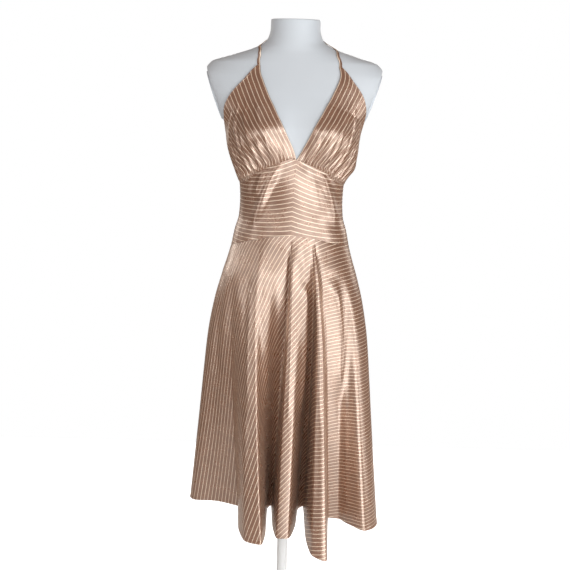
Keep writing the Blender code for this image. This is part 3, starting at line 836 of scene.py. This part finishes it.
def lathe(name, points, finish, looped=False):
    """A closed solid through rings of points, bottom to top or looped right round its section."""
    rows, sides = points.shape[:2]
    faces = [
        (
            r * sides + c, r * sides + (c + 1) % sides,
            (r + 1) % rows * sides + (c + 1) % sides, (r + 1) % rows * sides + c,
        )
        for r in range(rows if looped else rows - 1) for c in range(sides)
    ]
    if not looped:
        faces.append(tuple(range(sides))[::-1])
        faces.append(tuple((rows - 1) * sides + c for c in range(sides)))
    mesh = bpy.data.meshes.new(name)
    mesh.from_pydata(points.reshape(-1, 3), [], faces)
    return smoothed(name, mesh, finish, HARD_SHARP)


def make_form(name, finish):
    """The limbless form: sections from hip to neck, cut flat at the arms, neck and foot."""
    heights = np.concatenate([np.linspace(*rows) for rows in FORM_ROWS])
    bearings = np.arange(FORM_SIDES) * 360 / FORM_SIDES
    points = skin(bearings[None, :], heights[:, None])
    (low, low_x), (high, high_x) = ARM_CUT
    reach = low_x + (heights - low) * (high_x - low_x) / (high - low)
    reach = np.where(heights < low, 1.0, reach)[:, None]
    points[..., 0] = np.clip(points[..., 0], -reach, reach)
    made = lathe(name, points, finish)
    over = made.modifiers.new("Rounded edges", "BEVEL")
    over.width = FORM_ROUNDING
    over.segments = 3
    over.limit_method = "ANGLE"
    over.angle_limit = math.radians(60)
    return made


def rings(profile, sides):
    """Rings of a turned piece from its profile rows (radius, height)."""
    turn = np.arange(sides) * 2 * math.pi / sides
    radius, height = np.array(profile).T
    return np.stack([
        radius[:, None] * np.cos(turn), radius[:, None] * np.sin(turn),
        height[:, None] + 0 * turn,
    ], axis=2)


def turned(name, low, high, radius, rim, finish, sides=96):
    """A turned piece between two heights with rounded rims."""
    corner = [(radius - rim + rim * math.sin(a), rim * (1 - math.cos(a)))
              for a in np.linspace(0, math.pi / 2, 5)]
    profile = [(r, low + up) for r, up in corner] + [(r, high - up) for r, up in corner[::-1]]
    return lathe(name, rings(profile, sides), finish)


def make_arm_plate(name, node, side, finish):
    """An oval plate over the form's arm cut, with a rounded rim."""
    low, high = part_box(node)
    (cut_low, low_x), (cut_high, high_x) = ARM_CUT
    lean = math.atan2(high_x - low_x, cut_high - cut_low)
    half_depth = (high[1] - low[1]) / 2
    half_height = ((high[2] - low[2]) / 2 - PLATE_THICKNESS / 2 * math.sin(lean)) / math.cos(lean)
    made = turned(name, -PLATE_THICKNESS / 2, PLATE_THICKNESS / 2, 1, PLATE_RIM, finish)
    middle = Matrix.Translation([(a + b) / 2 for a, b in zip(low, high)])
    place = middle @ Matrix.Rotation(side * (math.pi / 2 + lean), 4, "Y")
    for vertex in made.data.vertices:
        x, y, z = vertex.co
        vertex.co = place @ Vector((x * half_height, y * half_depth, z))
    return made


def make_collar(name, finish):
    """The collar round the pole's foot, its outer edges eased."""
    low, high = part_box("pole_collar")
    reach, bore = high[0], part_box("pole")[1][0] + SEAM_GAP
    profile = [
        (bore, low[2]), (reach - 0.001, low[2]), (reach, low[2] + 0.001),
        (reach, high[2] - 0.003), (reach - 0.001, high[2] - 0.001),
        (reach - 0.003, high[2]), (bore, high[2]),
    ]
    return lathe(name, rings(profile, 96), finish, looped=True)


# Stitches: what the tree takes, with the sizes that it has unless told otherwise
STITCH_SIZES = {"Stitch length": 0.0022, "Pitch": 0.0030, "Thread radius": 0.00022}
EDGE_INSET = 0.0045     # from a turned edge to its stitches
HEM_INSET = 0.0055


def stitch_tree(finish):
    """Node tree that lays thread stitches along a path."""
    tree = bpy.data.node_groups.new("Stitches", "GeometryNodeTree")
    face = tree.interface
    face.new_socket("Path", in_out="INPUT", socket_type="NodeSocketGeometry")
    for name, value in STITCH_SIZES.items():
        size = face.new_socket(name, in_out="INPUT", socket_type="NodeSocketFloat")
        size.default_value = value
    face.new_socket("Stitches", in_out="OUTPUT", socket_type="NodeSocketGeometry")
    nodes = Nodes(tree)
    path, length, pitch, radius = (
        nodes.add("NodeGroupInput", {}, output=name) for name in ("Path", *STITCH_SIZES)
    )
    line = nodes.add("GeometryNodeMeshToCurve", {}, path)
    even = nodes.add("GeometryNodeResampleCurve", {"mode": "LENGTH"}, Curve=line, Length=pitch)
    tangent = nodes.add("GeometryNodeInputTangent", {})
    turn = nodes.add("FunctionNodeAlignRotationToVector", {"axis": "Z"}, Vector=tangent)
    bead = nodes.add("GeometryNodeMeshUVSphere", {}, Segments=6, Rings=5, Radius=0.5)
    size = nodes.add("ShaderNodeCombineXYZ", {}, radius * 2, radius * 2, length)
    laid = nodes.add(
        "GeometryNodeInstanceOnPoints", {}, Points=even, Instance=bead, Rotation=turn, Scale=size
    )
    real = nodes.add("GeometryNodeRealizeInstances", {}, laid)
    smooth = nodes.add("GeometryNodeSetShadeSmooth", {}, real)
    painted = nodes.add("GeometryNodeSetMaterial", {}, Geometry=smooth, Material=finish)
    nodes.add("NodeGroupOutput", {}, painted)
    return tree


def make_stitches(name, paths, tree, **sizes):
    """Stitches along each path of points, as one plain mesh."""
    mesh = bpy.data.meshes.new(name)
    points = [tuple(point) for path in paths for point in path]
    edges, start = [], 0
    for path in paths:
        edges += [(start + i, start + i + 1) for i in range(len(path) - 1)]
        start += len(path)
    mesh.from_pydata(points, edges, [])
    guide = in_scene(name + "_guide", mesh)
    nodes = guide.modifiers.new("Stitches", "NODES")
    nodes.node_group = tree
    keys = {
        item.name: item.identifier
        for item in tree.interface.items_tree if item.in_out == "INPUT"
    }
    for key, value in sizes.items():
        nodes[keys[key.replace("_", " ")]] = value
    seen = guide.evaluated_get(bpy.context.evaluated_depsgraph_get())
    sewn = bpy.data.meshes.new_from_object(seen)
    made = in_scene(name, sewn)
    bpy.data.objects.remove(guide)
    return made


def beside(grid, edge, inset):
    """A path on the cloth's outer face at inset from one of its edges."""
    face = grid + outward(grid) * FOLDED / 2
    run = lengths(grid, 1 if edge in ("first", "last") else 0)
    if edge in ("first", "last"):
        run = run if edge == "first" else run[:, -1:] - run
        near = np.argmin(np.abs(run - inset), axis=1)
        return face[np.arange(len(face)), near]
    run = run if edge == "top" else run[-1:] - run
    near = np.argmin(np.abs(run - inset), axis=0)
    return face[near, np.arange(face.shape[1])]


CAMERA_PLACE = Vector((-0.0093, -2.30, 1.40))
CAMERA_TARGET = Vector((-0.0093, 0.0, 0.90))
CAMERA_ROLL = 1.45      # degrees
CAMERA_LENS = 63.92     # mm, with a sensor CAMERA_SENSOR mm wide
CAMERA_SENSOR = 36


def make_camera():
    """The camera in front of the dress, a little above its middle."""
    data = bpy.data.cameras.new("camera")
    data.sensor_width = CAMERA_SENSOR
    data.lens = CAMERA_LENS
    camera = in_scene("camera", data)
    facing = (CAMERA_TARGET - CAMERA_PLACE).to_track_quat("-Z", "Y").to_matrix().to_4x4()
    roll = Matrix.Rotation(math.radians(CAMERA_ROLL), 4, "Z")
    camera.matrix_world = Matrix.Translation(CAMERA_PLACE) @ facing @ roll
    bpy.context.scene.camera = camera


# Studio lights, a row for each: name, bearing from the front towards the wearer's left, height
# angle, watts. Then, where it differs from a plain box's: width, height, distance, the x and
# height that it faces, spread in degrees
PLAIN_BOX = (0.7, 0.9, 2.6, 0.0, 0.88, 180)
LIGHTS = (
    ("front_box", 6, 16, 8.4),
    ("front_low_box", 10, -18, 9.8),
    ("front_floor_box", -5, -34, 10.0),
    ("front_left_box", 34, 18, 11.4),
    ("front_left_low_box", 32, -16, 8.0),
    ("front_left_floor_box", 30, -34, 3.0),
    ("front_left_level_box", 20, 0, 5.0),
    ("left_near_box", 48, 0, 4.2),
    ("left_box", 62, 2, 8.4),
    ("left_low_box", 85, -10, 6.0),
    ("front_right_box", -20, 18, 5.6),
    ("right_near_box", -38, -2, 2.4, 0.5),
    ("right_box", -64, -3, 4.6),
    ("right_hip_front_box", -56, 20, 0.014, 0.5, 0.25, 1.2, -0.11, 0.89, 18),
    ("right_hip_box", -80, 16, 0.018, 0.5, 0.25, 1.2, -0.11, 0.89, 18),
    ("right_hip_side_box", -104, 11, 0.024, 0.5, 0.25, 1.2, -0.11, 0.89, 18),
    ("right_hip_back_box", -128, 7, 0.024, 0.5, 0.25, 1.2, -0.11, 0.89, 18),
    ("high_box", -30, 80, 8.0, 1.4, 1.0, 2.2, 0.0, 1.30),
    ("back_box", 180, 10, 30.0, 1.2, 1.2),
    ("back_right_box", -140, 15, 6.0, 0.8, 1.4),
    ("back_left_box", 136, 15, 6.0, 0.8, 1.4),
)
LAMP_COLOUR = (0.97, 1.0, 1.0)
FILL_COLOUR = (1.0, 0.80, 0.68)
FILL_STRENGTH = 0.26
WHITE = (1.0, 1.0, 1.0)
BLACK = (0.0, 0.0, 0.0)
FLOOR_REACH = 1.3
FLOOR_GREY = (0.80, 0.80, 0.80)
FLOOR_GLOW = 0.92       # the floor looks pale but throws no light of its own on the dress


def make_lights():
    """Soft boxes round the dress, and narrow ones for the wearer's right hip."""
    for name, bearing, rise, watts, *own in LIGHTS:
        width, height, distance, x, z, spread = (*own, *PLAIN_BOX[len(own):])
        data = bpy.data.lights.new(name, "AREA")
        data.shape = "RECTANGLE"
        data.size = width
        data.size_y = height
        data.energy = watts
        data.spread = math.radians(spread)
        data.color = LAMP_COLOUR
        turn, rise = math.radians(bearing), math.radians(rise)
        towards = Vector((
            math.sin(turn) * math.cos(rise), -math.cos(turn) * math.cos(rise), math.sin(rise)
        ))
        light = in_scene(name, data)
        light.location = Vector((x, 0, z)) + towards * distance
        light.rotation_euler = (-towards).to_track_quat("-Z", "Y").to_euler()


def make_backdrop():
    """A white backdrop that lights the dress with a dim warm fill."""
    world = bpy.data.worlds.new("studio")
    world.use_nodes = True
    world.node_tree.nodes.clear()
    bpy.context.scene.world = world
    nodes = Nodes(world.node_tree)
    looked_at = nodes.add("ShaderNodeLightPath", {}, output="Is Camera Ray")
    fill = nodes.add("ShaderNodeBackground", {}, FILL_COLOUR, FILL_STRENGTH)
    white = nodes.add("ShaderNodeBackground", {}, WHITE, 1.0)
    nodes.add("ShaderNodeOutputWorld", {}, nodes.add("ShaderNodeMixShader", {}, looked_at, fill, white))


def make_floor():
    """A plain pale floor."""
    mesh = bpy.data.meshes.new("floor")
    r = FLOOR_REACH
    mesh.from_pydata([(-r, -r, 0), (r, -r, 0), (r, r, 0), (-r, r, 0)], [], [(0, 1, 2, 3)])
    floor = in_scene("floor", mesh)
    finish = Finish("floor")
    looked_at = finish.add("ShaderNodeLightPath", {}, output="Is Camera Ray")
    mesh.materials.append(finish.set(
        Base_Color=FLOOR_GREY,
        Roughness=0.7,
        Emission_Color=finish.mix(looked_at, BLACK, WHITE),
        Emission_Strength=FLOOR_GLOW,
    ))


def settle(piece, slot, *nodes):
    """A finished piece takes its nodes' place in the model."""
    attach(piece, "root")
    if nodes:
        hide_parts(*nodes)


def main():
    """Makes the studio and every piece, and puts each piece in its nodes' place in the model."""
    bpy.context.scene.view_settings.view_transform = "Standard"
    bpy.context.scene.view_settings.look = "None"
    make_camera()
    make_lights()
    make_backdrop()
    make_floor()
    satin, thread = striped_satin(), sewing_thread()
    plastic, paint = form_plastic(), stand_paint()

    cup_right, cup_right_grid = make_cup("cup_right_satin", -1, GATHERS_RIGHT, satin)
    cup_left, cup_left_grid = make_cup("cup_left_satin", 1, GATHERS_LEFT, satin)
    midriff_right = make_midriff_half("midriff_front_right_satin", -1, DRAGS_RIGHT, satin)
    midriff_left = make_midriff_half("midriff_front_left_satin", 1, DRAGS_LEFT, satin)
    midriff_back, band_grid = make_midriff_back("midriff_back_satin", satin)
    right_seam, left_seam = turn_index("right_seam"), turn_index("left_seam")
    front, front_grid = make_skirt_half("skirt_front_satin", right_seam, left_seam, CREASES_FRONT, satin)
    back, back_grid = make_skirt_half("skirt_back_satin", left_seam, len(TURNS), CREASES_BACK, satin)
    strap = make_strap("halter_strap_satin", satin)

    tree = stitch_tree(thread)
    turned_edges = [
        beside(grid, edge, EDGE_INSET)
        for grid in (cup_right_grid, cup_left_grid) for edge in ("first", "last")
    ]
    turned_edges.append(beside(band_grid, "top", EDGE_INSET))
    hem_edges = [beside(grid, "bottom", HEM_INSET) for grid in (front_grid, back_grid)]
    edges = make_stitches("edge_stitches", turned_edges, tree, Pitch=0.0028, Stitch_length=0.0021)
    hems = make_stitches("hem_stitches", hem_edges, tree, Pitch=0.0034, Stitch_length=0.0024)

    form = make_form("form_torso_moulded", plastic)
    plates = [
        make_arm_plate(f"arm_plate_{name}_moulded", f"arm_plate_{name}", side, plastic)
        for name, side in (("right", -1), ("left", 1))
    ]
    low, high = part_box("base_plate")
    base = turned("base_plate_painted", low[2], high[2], high[0], 0.0015, paint, 160)
    low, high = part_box("pole")
    pole = turned("pole_painted", low[2], high[2], high[0], 0.0006, paint, 64)
    collar = make_collar("pole_collar_painted", paint)

    for piece, node in (
        (cup_right, "cup_right"), (cup_left, "cup_left"),
        (midriff_right, "midriff_front_right"), (midriff_left, "midriff_front_left"),
        (midriff_back, "midriff_back"), (front, "skirt_front"), (back, "skirt_back"),
        (strap, "halter_strap"),
    ):
        settle(piece, "striped_satin", node)
    for piece in (edges, hems):
        settle(piece, "striped_satin")
    settle(form, "form_plastic", "form_torso")
    for plate, name in zip(plates, ("right", "left")):
        settle(plate, "form_plastic", f"arm_plate_{name}")
    settle(base, "stand_paint", "base_plate")
    settle(pole, "stand_paint", "pole")
    settle(collar, "stand_paint", "pole_collar")


main()
